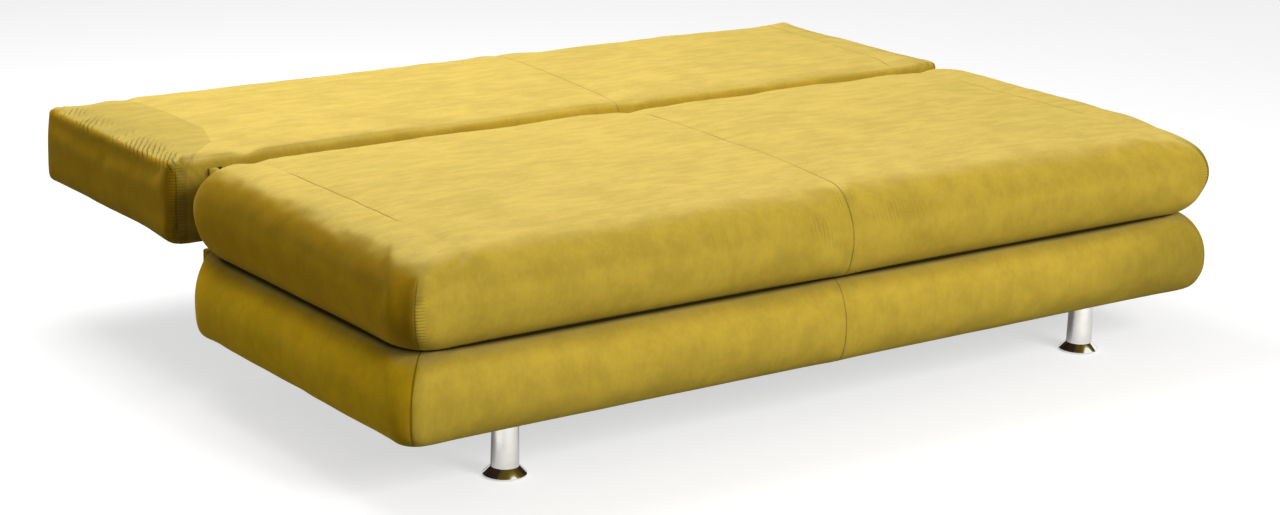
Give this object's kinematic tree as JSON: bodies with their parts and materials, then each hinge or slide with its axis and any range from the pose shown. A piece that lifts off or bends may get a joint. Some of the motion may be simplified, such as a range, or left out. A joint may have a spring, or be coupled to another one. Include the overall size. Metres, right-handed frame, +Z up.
{
  "type": "click clack sofa bed",
  "caption": "Sofa bed whose padded back ratchets down behind the seat to make a flat bed, over a padded bedding box on flared round legs.",
  "frame": {"origin": "on the floor under the middle of the whole bed, laid flat", "axes": "+X to the right seen from the front and along the length, +Y from the front edge of the seat to the back, +Z up"},
  "size_m": [2, 1.483, 0.4639],
  "materials": {
    "velvet": "crushed mustard velvet with a soft mottled nap",
    "leg_chrome": "polished bright chrome",
    "glide_plastic": "moulded, matt",
    "black_steel": "pressed steel, powder coated black",
    "spring_steel": "oiled dark steel",
    "pine": "planed, unfinished",
    "particle_board": "raw board",
    "hardboard": "smooth one side",
    "dust_cloth": "black non-woven cloth",
    "webbing": "woven elastic"
  },
  "bodies": {
    "base": {"leg_front_left": "leg_chrome", "leg_front_right": "leg_chrome", "leg_rear_left": "leg_chrome", "leg_rear_right": "leg_chrome", "glide_front_left": "glide_plastic", "glide_front_right": "glide_plastic", "glide_rear_left": "glide_plastic", "glide_rear_right": "glide_plastic", "leg_plate_front_left": "black_steel", "leg_plate_front_right": "black_steel", "leg_plate_rear_left": "black_steel", "leg_plate_rear_right": "black_steel", "leg_rail_left": "pine", "leg_rail_right": "pine", "box_front": "particle_board", "box_rear": "particle_board", "box_left": "particle_board", "box_right": "particle_board", "box_divider": "particle_board", "box_floor": "hardboard", "base_cushion": "velvet", "rear_cover": "velvet", "left_base_bracket": "black_steel", "right_base_bracket": "black_steel", "left_hinge_pin": "black_steel", "right_hinge_pin": "black_steel"},
    "seat": {"seat_rail_front": "pine", "seat_rail_rear": "pine", "seat_rail_left": "pine", "seat_rail_right": "pine", "seat_rail_middle": "pine", "seat_springs": "spring_steel", "seat_dust_cover": "dust_cloth", "seat_cushion": "velvet", "left_seat_arm": "black_steel", "right_seat_arm": "black_steel", "left_pawl_pin": "black_steel", "right_pawl_pin": "black_steel", "left_pawl_spring": "spring_steel", "right_pawl_spring": "spring_steel"},
    "back": {"back_rail_front": "pine", "back_rail_rear": "pine", "back_rail_left": "pine", "back_rail_right": "pine", "back_rail_middle": "pine", "back_webbing": "webbing", "back_dust_cover": "dust_cloth", "back_cushion": "velvet", "left_back_arm": "black_steel", "right_back_arm": "black_steel"},
    "left_pawl": {"left_pawl": "spring_steel"},
    "right_pawl": {"right_pawl": "spring_steel"}
  },
  "joints": [
    {"name": "seat_lift", "type": "hinge", "parent": "base", "child": "seat", "pos_m": [0, 0.1395, 0.409], "axis": [-1, 0, 0], "range_deg": [0, 25]},
    {"name": "back_fold", "type": "hinge", "parent": "seat", "child": "back", "pos_m": [0, 0.1395, 0.409], "axis": [1, 0, 0], "range_deg": [0, 70]},
    {"name": "left_pawl_drop", "type": "hinge", "parent": "seat", "child": "left_pawl", "pos_m": [-0.8907, 0.09537, 0.37569], "axis": [1, 0, 0], "range_deg": [0, 9], "deforming": ["left_pawl_spring"]},
    {"name": "right_pawl_drop", "type": "hinge", "parent": "seat", "child": "right_pawl", "pos_m": [0.8907, 0.09537, 0.37569], "axis": [1, 0, 0], "range_deg": [0, 9], "deforming": ["right_pawl_spring"]}
  ],
  "couplings": [
    {"joint": "right_pawl_drop", "follows": "left_pawl_drop", "ratio": 1}
  ]
}
